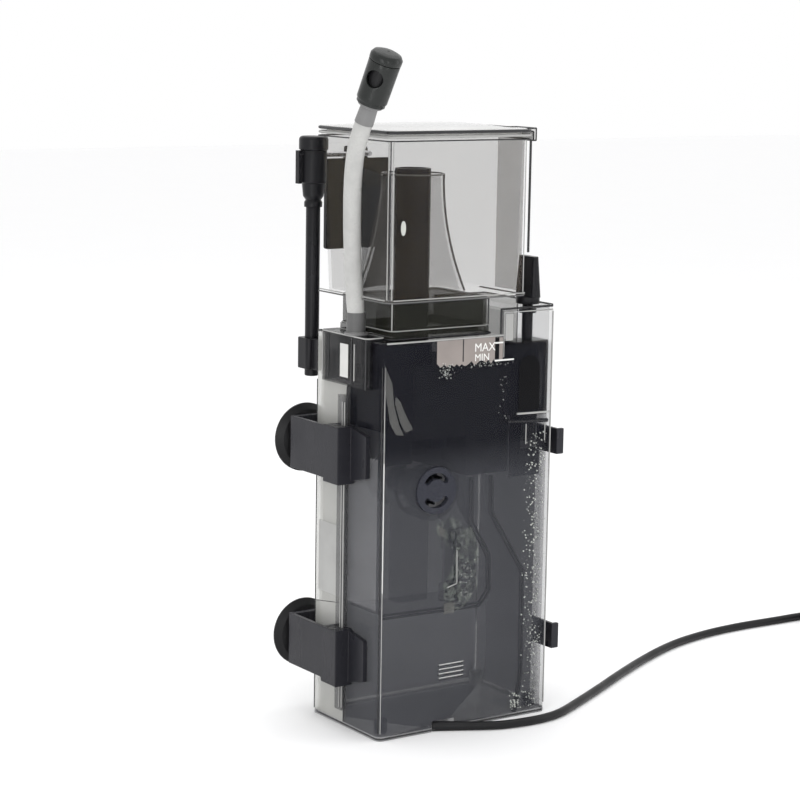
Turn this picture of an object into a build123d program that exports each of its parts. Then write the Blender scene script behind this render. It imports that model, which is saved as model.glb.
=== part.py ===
from build123d import *
import os
from math import pi, radians, tan

os.makedirs("parts", exist_ok=True)

# A tank filter with a collection cup. Millimetres, +Z up, front faces -Y.
# The origin is the centre of the base's underside.

# ---- Driving dimensions ----
body_w, body_d = 132.4, 77.0        # plan size of the casing
front_d = 40.7                      # depth of the front half of the casing
deck_h = 252.6                      # height of the main deck
tower_h, tower_w = 270.0, 41.4      # the valve tower at the right end
base_h = 2.8                        # thickness of the base plate
wall = 2.2                          # wall of the casings
corner_r, rear_r = 4.5, 2.5         # vertical corners of the casing, front and rear
gap = 0.4                           # clearance between pieces that move or lift off
rib = 2.0                           # thickness of internal walls

left, right = -body_w / 2, body_w / 2
front, back = -body_d / 2, body_d / 2
seam = front + front_d
tower_x = right - tower_w

# Collection cup
cup_right = left + 106.6
cup_top_w, cup_bottom_w = 105.2, 101.0
cup_top_d, cup_bottom_d = 82.4, 76.4
cup_bottom, cup_top = 277.0, 380.6
cup_wall, cup_floor, cup_r = 2.0, 2.4, 7.0
rim_h, rim_out = 4.2, 1.0
cup_top_x = cup_right - cup_top_w / 2
cup_bottom_x = cup_right - cup_bottom_w / 2

# Collar and socket, and the neck and core on their own axis
collar_x, neck_x = left + 49.0, left + 46.0
collar_w, collar_d, collar_r = 75.0, 59.4, 5.0
socket_h = 5.4
socket_top = deck_h + socket_h
neck_foot_r, neck_waist_r, neck_top_r = 34.0, 24.8, 19.4
neck_top = 353.5
neck_wall = 1.8
floor_hole_r = 31.0
core_r, core_wall = 11.4, 2.0
core_bottom, core_top = 200.0, 357.0

# Pump, on an axis along Y
pump_x, pump_z = left + 41.2, 157.5
cover_r = 15.0
volute_r, volute_d = 20.0, 14.0
motor_r, motor_d = 17.5, 34.0
volute_front = front + wall + 1.2
motor_front = volute_front + volute_d
shaft_r = 1.5

# Valve in the tower, on an axis along Z
valve_x, valve_y = left + 117.9, front + 10.8
barrel_r, barrel_bottom, barrel_top = 6.2, 203.0, 243.0
stem_r = 3.3
knob_w, knob_t, knob_h = 20.0, 7.0, 26.0

# Rails and brackets
rail_bottom, rail_top = 12.0, 216.0
rail_stem_w, rail_stem_d = 4.0, 2.2
rail_head_w, rail_head_d = 8.0, 2.2
bracket_h, clip_h = 33.6, 17.0
bracket_z = {"lower": 49.0, "upper": 179.5}
bracket_out = 12.0
leg_y, leg_t = back + 8.0, 4.0
suction_r, suction_d = 22.5, 10.0
suction_in = 5.0                    # suction cup's axis, in from the casing's side

# Air tube: a stiff silicone hose that stands on its own port
tube_r, tube_bore_r = 5.5, 3.4
port_x, port_y, port_top = left + 0.5, front + 32.0, 255.0
flange_t = 1.6
tube_points = [
    (port_x, port_y, port_top + flange_t),
    (port_x, port_y, 266.5),
    (left - 1.0, front + 31.5, 277.4),
    (left - 2.8, front + 30.3, 289.3),
    (left - 5.0, front + 28.2, 303.3),
    (left - 7.6, front + 25.2, 318.5),
    (left - 10.3, front + 21.4, 333.6),
    (left - 13.2, front + 16.8, 348.6),
    (left - 15.7, front + 11.4, 362.9),
    (left - 17.2, front + 6.0, 375.6),
    (left - 15.9, front + 0.9, 387.4),
]
silencer_r = 9.8

# Hanger: a rod with a knob head, and a plate that hangs inside the tank's rim
rod_x, rod_y, rod_r = left + 5.0, front + 91.0, 4.6
rod_bottom, rod_top = 221.0, 336.0
head_r, head_bottom, head_top = 8.6, 345.0, 366.0
hook_y, hook_t = front + 110.0, 3.0
hook_left, hook_right = left + 27.0, left + 76.0
hook_bottom, hook_top = 300.0, 359.0
bar_z, bar_r = 363.0, 1.6

# Mains lead: a 1.5 m lead, 5.6 mm thick, lying on the floor
cord_r = 2.8
cord_points = [
    (left + 66.5, front - 9.5, cord_r),
    (left + 80.0, front - 17.1, cord_r),
    (left + 97.0, front - 20.0, cord_r),
    (left + 114.0, front - 20.6, cord_r),
    (left + 131.0, front - 17.2, cord_r),
    (left + 152.0, front - 6.2, cord_r),
    (left + 186.0, front + 12.4, cord_r),
    (left + 225.0, front + 35.0, cord_r),
    (left + 265.0, front + 56.5, cord_r),
    (left + 308.0, front + 76.0, cord_r),
    (left + 348.0, front + 85.6, cord_r),
    (left + 384.0, front + 88.6, cord_r),
    (left + 418.0, front + 87.2, cord_r),
    (left + 446.0, front + 86.9, cord_r),
    (left + 472.0, front + 85.6, cord_r),
]
gland_l, gland_r = 26.0, 3.4
coil_mid_r, coil_rows, coil_layers = 31.0, 2, 3
plug_l, plug_w, plug_h = 38.0, 26.0, 15.0


def save(piece, name):
    """Labels a finished piece and writes it to its own file."""
    piece.part.label = name
    export_step(piece.part, f"parts/{name}.step")


def block(x0, x1, y0, y1, z0, z1, mode=Mode.ADD):
    """A box between two corners, added to the part being built."""
    with BuildSketch(Plane.XY.offset(z0), mode=Mode.PRIVATE) as face:
        with Locations(((x0 + x1) / 2, (y0 + y1) / 2)):
            Rectangle(x1 - x0, y1 - y0)
    extrude(face.sketch, amount=z1 - z0, mode=mode)


def rounded(x, y, w, d, r, z0, z1, mode=Mode.ADD):
    """A box with rounded vertical corners about (x, y), added to the part being built."""
    with BuildSketch(Plane.XY.offset(z0), mode=Mode.PRIVATE) as face:
        with Locations((x, y)):
            RectangleRounded(w, d, r)
    extrude(face.sketch, amount=z1 - z0, mode=mode)


def disc_z(x, y, r, z0, z1, mode=Mode.ADD):
    """A cylinder along Z, added to the part being built."""
    with BuildSketch(Plane.XY.offset(z0), mode=Mode.PRIVATE) as face:
        with Locations((x, y)):
            Circle(r)
    extrude(face.sketch, amount=z1 - z0, mode=mode)


def disc_y(x, z, r, y0, y1, mode=Mode.ADD):
    """A cylinder along Y, added to the part being built."""
    with BuildSketch(Plane.XZ.offset(-y0), mode=Mode.PRIVATE) as face:
        with Locations((x, z)):
            Circle(r)
    extrude(face.sketch, amount=y0 - y1, mode=mode)


def band_y(points, y0, y1, mode=Mode.ADD):
    """A closed outline in X and Z, extruded from y0 to y1."""
    with BuildSketch(Plane.XZ.offset(-y0), mode=Mode.PRIVATE) as face:
        with BuildLine():
            Polyline(*points, close=True)
        make_face()
    extrude(face.sketch, amount=y0 - y1, mode=mode)


# ---- Casing: two clear halves that meet at the seam ----
slot_l, slot_h, slot_pitch, slot_x, slot_z = 19.0, 1.5, 2.9, left + 55.5, 33.4
slot_count = 4
notch_x, notch_w, notch_h = left + 50.5, 19.0, 7.0
outlet_w, outlet_bottom, outlet_top = 22.0, 204.0, 236.0
port_w, port_out = 14.5, 5.0
port_front, port_back = front + 12.0, front + 65.0
port_bottom = 223.0
casing_outline = [
    (left, base_h),
    (right, base_h),
    (right, tower_h),
    (tower_x, tower_h),
    (tower_x, deck_h),
    (left, deck_h),
]
screw_in, screw_r, screw_l, boss_r = 9.0, 1.5, 9.0, 3.4
screw_spots = [(sx * (body_w / 2 - screw_in), sy * (body_d / 2 - screw_in))
               for sx in (-1, 1) for sy in (-1, 1)]


def plan_solid(inset, z0, z1):
    """The casing's plan, drawn in by inset: its front corners are softer than its rear."""
    w, d = body_w - 2 * inset, body_d - 2 * inset
    with BuildPart() as form:
        for r, y0, y1 in ((corner_r, seam, back), (rear_r, front, seam)):
            with BuildPart(mode=Mode.PRIVATE) as half:
                rounded(0, 0, w, d, max(r - inset, 0.3 * r), z0, z1)
                block(left - 1, right + 1, y0 - rib * (y0 < seam), y1 + rib * (y1 > seam),
                      z0 - 1, z1 + 1, mode=Mode.SUBTRACT)
            add(half.part)
    return form.part


plan_outer = plan_solid(0.0, 0, tower_h)
plan_inner = plan_solid(wall, 0, tower_h + 1)


def casing_half(y0, y1):
    """One half of the casing, open at its top, its base and the seam."""
    with BuildPart() as half:
        band_y(casing_outline, y0, y1)
        add(plan_outer, mode=Mode.INTERSECT)
        add(plan_inner, mode=Mode.SUBTRACT)
        block(
            left - 1, left + port_w - port_out + gap,
            port_front - gap, port_back + gap,
            port_bottom - gap, deck_h + 1, mode=Mode.SUBTRACT,
        )
        for sx, sy in screw_spots:
            if y0 < sy < y1:
                end = left + 0.5 * wall if sx < 0 else right - 0.5 * wall
                block(min(sx, end), max(sx, end), sy - rib / 2, sy + rib / 2,
                      base_h, base_h + screw_l)
                disc_z(sx, sy, boss_r, base_h, base_h + screw_l)
                disc_z(sx, sy, screw_r + 0.05, base_h - 1, base_h + screw_l - 0.8,
                       mode=Mode.SUBTRACT)
    return half


front_shell = casing_half(front, seam)
with BuildPart() as front_casing:
    add(front_shell.part)
    disc_y(pump_x, pump_z, cover_r + gap, front - 1, front + wall + 1, mode=Mode.SUBTRACT)
    for row in range(slot_count):
        z = slot_z + row * slot_pitch
        block(slot_x - slot_l / 2, slot_x + slot_l / 2, front - 1, front + wall + 1,
              z, z + slot_h, mode=Mode.SUBTRACT)
    block(notch_x - notch_w / 2, notch_x + notch_w / 2, front - 1, front + wall + 1,
          0, notch_h, mode=Mode.SUBTRACT)
save(front_casing, "front_casing")

rear_shell = casing_half(seam, back)
with BuildPart() as rear_casing:
    add(rear_shell.part)
    block(right - wall - 4 - outlet_w, right - wall - 4, back - wall - 1, back + 1,
          outlet_bottom, outlet_top, mode=Mode.SUBTRACT)
save(rear_casing, "rear_casing")

with BuildPart() as base_plate:
    add(plan_solid(0.0, 0, base_h))
    block(notch_x - notch_w / 2, notch_x + notch_w / 2, front - 1, front + 12,
          -1, base_h + 1, mode=Mode.SUBTRACT)
save(base_plate, "base_plate")

with BuildPart() as base_screws:
    for sx, sy in screw_spots:
        disc_z(sx, sy, screw_r, base_h + 0.1, base_h + screw_l - 1)
save(base_screws, "base_screws")

# The deck and the tower's cap are one stepped cover inside the casing's walls
deck_t = 2.2
deck_band = [
    (left, deck_h - deck_t),
    (tower_x + rib, deck_h - deck_t),
    (tower_x + rib, tower_h - deck_t),
    (right, tower_h - deck_t),
    (right, tower_h),
    (tower_x, tower_h),
    (tower_x, deck_h),
    (left, deck_h),
]
throat_w, throat_d = collar_w - 8.0, collar_d - 8.0
with BuildPart() as top_cover:
    band_y(deck_band, front, back)
    add(plan_inner, mode=Mode.INTERSECT)
    rounded(collar_x, 0, throat_w, throat_d, 3.0, 0, deck_h + 1, mode=Mode.SUBTRACT)
    disc_z(valve_x, valve_y, stem_r + gap, deck_h, tower_h + 1, mode=Mode.SUBTRACT)
    block(left - 1, left + port_w - port_out + gap, port_front - gap, port_back + gap,
          port_bottom, deck_h + 1, mode=Mode.SUBTRACT)
save(top_cover, "top_cover")

with BuildPart() as socket_ring:
    rounded(collar_x, 0, collar_w + 3.0, collar_d + 3.0, collar_r + 1.5, deck_h, socket_top)
    rounded(collar_x, 0, throat_w, throat_d, 3.0, deck_h - 1, socket_top + 1,
            mode=Mode.SUBTRACT)
save(socket_ring, "socket_ring")

# ---- Collection cup, its collar, gasket, neck and lid ----


def cup_solid(inset, z0, z1):
    """The cup's tapered outline between two heights, drawn in by inset."""
    def at(z):
        share = (z - cup_bottom) / (cup_top - cup_bottom)
        return (
            cup_bottom_x + share * (cup_top_x - cup_bottom_x),
            cup_bottom_w + share * (cup_top_w - cup_bottom_w) - 2 * inset,
            cup_bottom_d + share * (cup_top_d - cup_bottom_d) - 2 * inset,
        )
    with BuildPart() as form:
        for z in (z0, z1):
            x, w, d = at(z)
            with BuildSketch(Plane.XY.offset(z)):
                with Locations((x, 0)):
                    RectangleRounded(w, d, cup_r - inset)
        loft()
    return form.part


cup_outer = cup_solid(0.0, cup_bottom, cup_top)
cup_inner = cup_solid(cup_wall, cup_bottom + cup_floor, cup_top + 1)
with BuildPart() as cup_body:
    add(cup_outer)
    rounded(cup_top_x, 0, cup_top_w + 2 * rim_out, cup_top_d + 2 * rim_out,
            cup_r + rim_out, cup_top - rim_h, cup_top)
    add(cup_inner, mode=Mode.SUBTRACT)
    disc_z(neck_x, 0, floor_hole_r, cup_bottom - 1, cup_bottom + cup_floor + 1,
           mode=Mode.SUBTRACT)
    fillet(cup_body.faces().sort_by(Axis.Z)[0].outer_wire().edges(), radius=1.6)
save(cup_body, "cup_body")

neck_foot_z = cup_bottom + cup_floor
neck_mid_z = neck_foot_z + 0.38 * (neck_top - neck_foot_z)
with BuildPart() as riser_neck:
    with BuildSketch(Plane.XZ) as bell:
        with BuildLine():
            outer_arc = ThreePointArc((neck_x + neck_foot_r, neck_foot_z),
                                      (neck_x + neck_waist_r, neck_mid_z),
                                      (neck_x + neck_top_r, neck_top))
            inner_arc = ThreePointArc((neck_x + neck_foot_r - neck_wall - 1, neck_foot_z),
                                      (neck_x + neck_waist_r - neck_wall, neck_mid_z),
                                      (neck_x + neck_top_r - neck_wall, neck_top))
            Line(outer_arc @ 0, inner_arc @ 0)
            Line(outer_arc @ 1, inner_arc @ 1)
        make_face()
    revolve(axis=Axis((neck_x, 0, 0), (0, 0, 1)))
    with BuildSketch(Plane.XZ) as lip:
        with Locations((neck_x + neck_top_r + 0.2, neck_top - 1.2)):
            Rectangle(1.8, 2.4)
    revolve(axis=Axis((neck_x, 0, 0), (0, 0, 1)))
save(riser_neck, "riser_neck")

with BuildPart() as cup_collar:
    rounded(collar_x, 0, collar_w, collar_d, collar_r, socket_top, cup_bottom)
    rounded(collar_x, 0, collar_w - 2 * wall, collar_d - 2 * wall, collar_r - wall,
            socket_top - 1, cup_bottom + 1, mode=Mode.SUBTRACT)
save(cup_collar, "cup_collar")

with BuildPart() as cup_gasket:
    rounded(collar_x, 0, throat_w - 2 * gap, throat_d - 2 * gap, 2.6,
            socket_top - 3.4, socket_top + 1.6)
    rounded(collar_x, 0, throat_w - 6.0, throat_d - 6.0, 2.0,
            socket_top - 5, socket_top + 3, mode=Mode.SUBTRACT)
save(cup_gasket, "cup_gasket")

lid_t, lid_dome, lid_lip = 2.0, 1.8, 3.0
lid_w, lid_d = cup_top_w + 2 * rim_out, cup_top_d + 2 * rim_out
lid_r = cup_r + rim_out
tab_y, tab_w, tab_out, tab_drop = front + 12.0, 20.0, 8.0, 5.6
lip_inset = cup_wall + 0.8
with BuildPart() as lid:
    rounded(cup_top_x, 0, lid_w, lid_d, lid_r, cup_top, cup_top + lid_t)
    for z, inset in ((cup_top + lid_t, 5.0), (cup_top + lid_t + lid_dome, 18.0)):
        with BuildSketch(Plane.XY.offset(z)):
            with Locations((cup_top_x, 0)):
                RectangleRounded(lid_w - 2 * inset, lid_d - 2 * inset, lid_r)
    loft()
    rounded(cup_top_x, 0, cup_top_w - 2 * lip_inset, cup_top_d - 2 * lip_inset,
            cup_r - lip_inset, cup_top - lid_lip, cup_top)
    rounded(cup_top_x, 0, cup_top_w - 2 * lip_inset - 3.2, cup_top_d - 2 * lip_inset - 3.2,
            cup_r - lip_inset - 1.6, cup_top - lid_lip - 1, cup_top, mode=Mode.SUBTRACT)
    block(cup_right + rim_out - 1, cup_right + tab_out, tab_y - tab_w / 2,
          tab_y + tab_w / 2, cup_top, cup_top + lid_t)
    block(cup_right + tab_out - lid_t, cup_right + tab_out, tab_y - tab_w / 2,
          tab_y + tab_w / 2, cup_top - tab_drop, cup_top)
save(lid, "lid")

with BuildPart() as riser_core:
    disc_z(neck_x, 0, core_r, core_bottom, core_top)
    disc_z(neck_x, 0, core_r + 2.6, core_bottom, deck_h - 6)
    disc_z(neck_x, 0, core_r - core_wall, core_bottom - 1, core_top + 1,
           mode=Mode.SUBTRACT)
save(riser_core, "riser_core")

# ---- Pump: volute, motor, impeller, cover, feed pipe ----
chamber_r = 14.6
with BuildPart() as pump_housing:
    disc_y(pump_x, pump_z, volute_r, volute_front, motor_front)
    disc_y(pump_x, pump_z, motor_r, motor_front, motor_front + motor_d)
    disc_z(neck_x, volute_front + volute_d / 2, 5.0, pump_z + 10, pump_z + 26)
    disc_y(pump_x, pump_z, chamber_r, volute_front - 1, motor_front - 2.0,
           mode=Mode.SUBTRACT)
    disc_y(pump_x, pump_z, 8.6, motor_front - 3, motor_front + motor_d - 8,
           mode=Mode.SUBTRACT)
    disc_z(neck_x, volute_front + volute_d / 2, 3.6, pump_z + 8, pump_z + 27,
           mode=Mode.SUBTRACT)
save(pump_housing, "pump_housing")

# A box duct takes the pump's discharge up and back to the foot of the riser core
elbow_y = volute_front + volute_d / 2
elbow_z = pump_z + 26
elbow_w, elbow_wall = 11.6, 1.4
with BuildPart() as riser_elbow:
    block(neck_x - elbow_w / 2, neck_x + elbow_w / 2, elbow_y - elbow_w / 2,
          elbow_w / 2, elbow_z, core_bottom)
    block(neck_x - elbow_w / 2 + elbow_wall, neck_x + elbow_w / 2 - elbow_wall,
          elbow_y - elbow_w / 2 + elbow_wall, elbow_w / 2 - elbow_wall,
          elbow_z + elbow_wall, core_bottom - elbow_wall, mode=Mode.SUBTRACT)
    disc_z(neck_x, elbow_y, 3.6, elbow_z - 1, elbow_z + 3, mode=Mode.SUBTRACT)
    disc_z(neck_x, 0, 4.2, core_bottom - 3, core_bottom + 1, mode=Mode.SUBTRACT)
save(riser_elbow, "riser_elbow")

kidney_r, kidney_w, kidney_span = 9.2, 4.0, 96
with BuildPart() as volute_cover:
    disc_y(pump_x, pump_z, cover_r, front - 0.8, volute_front - 0.2)
    for centre_angle in (90, 270):
        with BuildSketch(Plane.XZ.offset(-front + 2)):
            with BuildLine():
                CenterArc((pump_x, pump_z), kidney_r, centre_angle - kidney_span / 2,
                          kidney_span)
                offset(amount=kidney_w / 2, side=Side.BOTH)
            make_face()
        extrude(amount=-10, mode=Mode.SUBTRACT)
    disc_y(pump_x, pump_z, shaft_r + 0.1, volute_front - 1.4, volute_front + 1,
           mode=Mode.SUBTRACT)
save(volute_cover, "volute_cover")

with BuildPart() as pump_shaft:
    disc_y(pump_x, pump_z, shaft_r, volute_front + 0.2, motor_front + motor_d - 9)
save(pump_shaft, "pump_shaft")

needle_count = 10
impeller_back = motor_front - 3.0
impeller_front = volute_front + 2.4
with BuildPart() as impeller:
    disc_y(pump_x, pump_z, 12.0, impeller_back - 1.6, impeller_back)
    disc_y(pump_x, pump_z, 3.4, impeller_front, impeller_back)
    with BuildPart(mode=Mode.PRIVATE) as needle:
        disc_y(pump_x + 10.4, pump_z, 0.9, impeller_front + 1, impeller_back - 1)
        disc_y(pump_x + 6.8, pump_z, 0.9, impeller_front + 1, impeller_back - 1)
    for step in range(needle_count):
        add(needle.part.rotate(Axis((pump_x, 0, pump_z), (0, 1, 0)),
                               360 / needle_count * step))
    disc_y(pump_x, pump_z, shaft_r + 0.06, impeller_front - 1, impeller_back + 1,
           mode=Mode.SUBTRACT)
save(impeller, "impeller")

with BuildPart() as rotor_magnet:
    disc_y(pump_x, pump_z, 7.6, impeller_back, motor_front + motor_d - 12)
    disc_y(pump_x, pump_z, shaft_r + 0.06, impeller_back - 1, motor_front + motor_d,
           mode=Mode.SUBTRACT)
save(rotor_magnet, "rotor_magnet")

with BuildPart() as shaft_bush:
    disc_y(pump_x, pump_z, 4.0, motor_front + motor_d - 11, motor_front + motor_d - 8)
    disc_y(pump_x, pump_z, shaft_r + 0.02, motor_front + motor_d - 12,
           motor_front + motor_d - 7, mode=Mode.SUBTRACT)
save(shaft_bush, "shaft_bush")

# ---- Internal walls, cradle, venturi and sponge ----
shelf_z = 79.0
duct_back = seam - 1.0
duct_front = front + wall
inner_wall = [
    (left + wall, shelf_z), (left + 78.2, shelf_z - 1.2), (left + 86.2, 87.0),
    (left + 85.6, 110.8), (left + 71.6, 133.6), (left + 71.2, 162.0),
    (left + 69.2, 162.0), (left + 69.4, 132.8), (left + 83.4, 110.0),
    (left + 84.0, 88.0), (left + 77.2, 79.8), (left + wall, shelf_z + rib),
]
outer_wall = [
    (left + 109.4, base_h), (left + 113.6, 28.0), (left + 112.8, 98.0),
    (left + 87.2, 138.2), (left + 86.4, 162.0), (left + 84.4, 162.0),
    (left + 85.2, 137.4), (left + 110.8, 97.4), (left + 111.6, 28.2),
    (left + 107.4, base_h),
]
for name, outline in (("duct_wall_inner", inner_wall), ("duct_wall_outer", outer_wall)):
    with BuildPart() as duct:
        band_y(outline, duct_front, duct_back)
        add(plan_inner, mode=Mode.INTERSECT)
    save(duct, name)

cradle_w, cradle_front, cradle_back = 22.0, motor_front + 6, motor_front + 18
with BuildPart() as pump_cradle:
    block(pump_x - cradle_w / 2, pump_x + cradle_w / 2, cradle_front, cradle_back,
          shelf_z + rib, pump_z - 8)
    disc_y(pump_x, pump_z, motor_r, cradle_front - 1, cradle_back + 1,
           mode=Mode.SUBTRACT)
save(pump_cradle, "pump_cradle")
venturi_x, venturi_y = left + 62.0, front + 12.0
with BuildPart() as venturi_pipe:
    disc_z(venturi_x, venturi_y, 5.4, shelf_z + rib + 1, 128.0)
    disc_z(venturi_x, venturi_y, 7.6, shelf_z + rib + 1, 92.0)
    disc_z(venturi_x, venturi_y, 6.4, 116.0, 119.0)
    disc_z(venturi_x, venturi_y, 3.8, shelf_z, 129.0, mode=Mode.SUBTRACT)
save(venturi_pipe, "venturi_pipe")

sponge_top, sponge_bottom, sponge_low = 233.0, 190.0, 164.0
sponge_left, sponge_mid, sponge_right = left + 24.0, left + 66.0, left + 99.0
sponge_front, sponge_back = front + wall + 1.0, back - wall - 1.0
with BuildPart() as filter_sponge:
    band_y([(sponge_left, sponge_bottom), (sponge_mid, sponge_bottom),
            (sponge_mid, sponge_low), (sponge_right, sponge_low),
            (sponge_right, sponge_top), (sponge_left, sponge_top)],
           sponge_front, sponge_back)
    disc_z(neck_x, 0, core_r + 3.2, sponge_low - 1, sponge_top + 1, mode=Mode.SUBTRACT)
    block(neck_x - elbow_w / 2 - 1, neck_x + elbow_w / 2 + 1, elbow_y - elbow_w / 2 - 1,
          elbow_w / 2 + 1, sponge_bottom - 1, core_bottom + 1, mode=Mode.SUBTRACT)
save(filter_sponge, "filter_sponge")

# Chamber under the left end of the deck, with a sloping plate that turns the flow
chamber_x, chamber_y, chamber_t = left + 10.2, front + 9.0, 1.6
with BuildPart() as inlet_chamber:
    block(chamber_x, neck_x - core_r - 4.0, chamber_y, back - 9.0, 236.0,
          deck_h - deck_t)
    block(chamber_x + chamber_t, neck_x - core_r - 4.0 - chamber_t, chamber_y + chamber_t,
          back - 9.0 - chamber_t, 235.0, deck_h, mode=Mode.SUBTRACT)
    band_y([(chamber_x, 246.0), (chamber_x + 2.0, 246.0), (left + 21.5, 200.0),
            (left + 12.0, 200.0)], chamber_y, chamber_y + chamber_t)
save(inlet_chamber, "inlet_chamber")

# ---- Air port, tube and silencer ----
with BuildPart() as port_block:
    block(left - port_out, left + port_w - port_out, port_front, port_back,
          port_bottom, port_top)
    fillet(port_block.edges().filter_by(Axis.Z), radius=4.0)
    block(left - port_out + wall, left + port_w - port_out - wall,
          port_front + wall, port_back - wall, port_bottom - 1, port_top - wall,
          mode=Mode.SUBTRACT)
    disc_z(port_x, port_y, tube_bore_r, port_bottom, port_top + 1, mode=Mode.SUBTRACT)
    chamfer(port_block.faces().sort_by(Axis.Z)[-1].outer_wire().edges(), length=1.0)
save(port_block, "port_block")

ferrule_top = port_top + 7.0
with BuildPart() as air_ferrule:
    disc_z(port_x, port_y, tube_bore_r, port_bottom + 14, ferrule_top)
    disc_z(port_x, port_y, 7.2, port_top, port_top + flange_t)
    disc_z(port_x, port_y, tube_bore_r - 1.6, port_bottom + 13, ferrule_top,
           mode=Mode.SUBTRACT)
save(air_ferrule, "air_ferrule")


def arc_radii(points):
    """The largest arc at each corner: 0.45 of the shorter run over tan(half the turn)."""
    found = []
    for a, b, c in zip(points, points[1:], points[2:]):
        first, second = Vector(*b) - Vector(*a), Vector(*c) - Vector(*b)
        turn = radians(first.get_angle(second))
        found.append(0.45 * min(first.length, second.length) / tan(turn / 2))
    return found


def path_length(path):
    """The length of all the edges of a built path."""
    return sum(edge.length for edge in path.edges())


tube_radii = arc_radii(tube_points)
print("air tube radii", [round(r) for r in tube_radii])
with BuildPart() as air_tube:
    with BuildLine() as tube_path:
        FilletPolyline(*tube_points, radius=tube_radii)
    with BuildSketch(Plane(origin=tube_path.line @ 0, z_dir=tube_path.line % 0)):
        Circle(tube_r)
        Circle(tube_bore_r, mode=Mode.SUBTRACT)
    sweep()
tube_volume = pi * (tube_r**2 - tube_bore_r**2) * path_length(tube_path)
print("air tube length", round(path_length(tube_path), 1),
      "volume share", round(air_tube.part.volume / tube_volume, 4))
save(air_tube, "air_tube")

# The silencer's pieces are turned about its own leaning axis
tube_end = tube_path.line @ 1
tube_way = tube_path.line % 1
silencer_plane = Plane(origin=tube_end, z_dir=tube_way)


def turned(profile):
    """Revolves a closed (radius, height) outline about the silencer's axis."""
    side = Plane(origin=silencer_plane.origin, x_dir=silencer_plane.x_dir,
                 z_dir=silencer_plane.y_dir * -1)
    with BuildPart() as form:
        with BuildSketch(side):
            with BuildLine():
                Polyline(*profile, close=True)
            make_face()
        revolve(axis=Axis(silencer_plane.origin, silencer_plane.z_dir))
    return form.part


stub_l = 9.0
body_start, body_end, cap_end = 13.0, 40.0, 47.0
with BuildPart() as silencer_stub:
    add(turned([(tube_bore_r, -6), (tube_bore_r, 0), (5.9, 0), (5.4, 10.6),
                (7.6, body_start - 1.4), (7.6, body_start), (1.9, body_start), (1.9, -6)]))
save(silencer_stub, "silencer_stub")
hole_r, hole_at = 5.4, 30.5
with BuildPart() as silencer_body:
    add(turned([(1.9, body_start), (8.9, body_start), (8.9, body_start + 1.6),
                (9.5, body_start + 2.6), (silencer_r, body_end), (silencer_r - 1.8, body_end),
                (silencer_r - 2.2, body_start + 3.4), (1.9, body_start + 3.4)]))
    side_hole = Plane(origin=silencer_plane.origin + silencer_plane.z_dir * hole_at,
                      z_dir=Vector(-0.82, -0.57, -0.16).normalized())
    with BuildSketch(side_hole):
        Circle(hole_r)
    extrude(amount=14, mode=Mode.SUBTRACT)
save(silencer_body, "silencer_body")
with BuildPart() as silencer_foam:
    add(turned([(0.01, body_start + 3.6), (7.0, body_start + 3.6), (7.0, body_end - 1),
                (0.01, body_end - 1)]))
save(silencer_foam, "silencer_foam")
with BuildPart() as silencer_cap:
    add(turned([(0.01, body_end + 0.2), (silencer_r + 0.2, body_end + 0.2),
                (silencer_r + 0.2, cap_end - 3.4), (silencer_r - 1.2, cap_end - 1.4),
                (silencer_r - 4.0, cap_end - 0.4), (0.01, cap_end)]))
save(silencer_cap, "silencer_cap")

# ---- Valve in the tower ----
housing_left, housing_right = left + 103.0, right - wall - 0.4
housing_front, housing_back = front + wall + 0.3, front + 19.0
with BuildPart() as valve_housing:
    block(housing_left, housing_right, housing_front, housing_back, 199.0, 247.0)
    add(plan_solid(wall + 0.3, 190.0, 250.0), mode=Mode.INTERSECT)
    block(housing_left + 1.6, housing_right - 1.6, housing_front + 1.6,
          housing_back - 1.6, 201.0, 246.0, mode=Mode.SUBTRACT)
    with BuildSketch(Plane.XZ.offset(-housing_front + 1)):
        with Locations(((housing_left + housing_right) / 2 + 1, 222.0)):
            SlotOverall(42.0, 18.0, rotation=90)
    extrude(amount=-3.4, mode=Mode.SUBTRACT)
    disc_z(valve_x, valve_y, stem_r + gap, 245.0, 248.0, mode=Mode.SUBTRACT)
    disc_z(valve_x, valve_y, barrel_r - 1.0, 198.0, 202.0, mode=Mode.SUBTRACT)
save(valve_housing, "valve_housing")
with BuildPart() as valve_barrel:
    disc_z(valve_x, valve_y, barrel_r, barrel_bottom, barrel_top)
    disc_z(valve_x, valve_y, barrel_r - 1.6, barrel_bottom - 1, barrel_top - 2,
           mode=Mode.SUBTRACT)
    block(valve_x - 3, valve_x + 3, valve_y, valve_y + 10, barrel_bottom + 6,
          barrel_top - 10, mode=Mode.SUBTRACT)
save(valve_barrel, "valve_barrel")
with BuildPart() as valve_stem:
    disc_z(valve_x, valve_y, stem_r, barrel_top, tower_h + 6)
    disc_z(valve_x, valve_y, stem_r + 2.4, tower_h - deck_t - 3.0,
           tower_h - deck_t - 0.4)
save(valve_stem, "valve_stem")
with BuildPart() as valve_knob:
    disc_z(valve_x, valve_y, 7.6, tower_h + 0.6, tower_h + 5.0)
    for z, w, t in ((tower_h + 5.0, knob_w, knob_t),
                    (tower_h + 5.0 + knob_h, knob_w - 3.0, 4.4)):
        with BuildSketch(Plane.XY.offset(z)):
            with Locations((valve_x, valve_y)):
                RectangleRounded(t, w, 2.0)
    loft()
    disc_z(valve_x, valve_y, stem_r, tower_h, tower_h + 6, mode=Mode.SUBTRACT)
save(valve_knob, "valve_knob")
with BuildPart() as valve_spout:
    disc_z(valve_x, valve_y, 6.8, 182.0, 199.0)
    disc_z(valve_x, valve_y, 7.8, 195.0, 199.0)
    disc_z(valve_x, valve_y, barrel_r - 1.0, 181.0, 200.0, mode=Mode.SUBTRACT)
save(valve_spout, "valve_spout")

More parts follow.
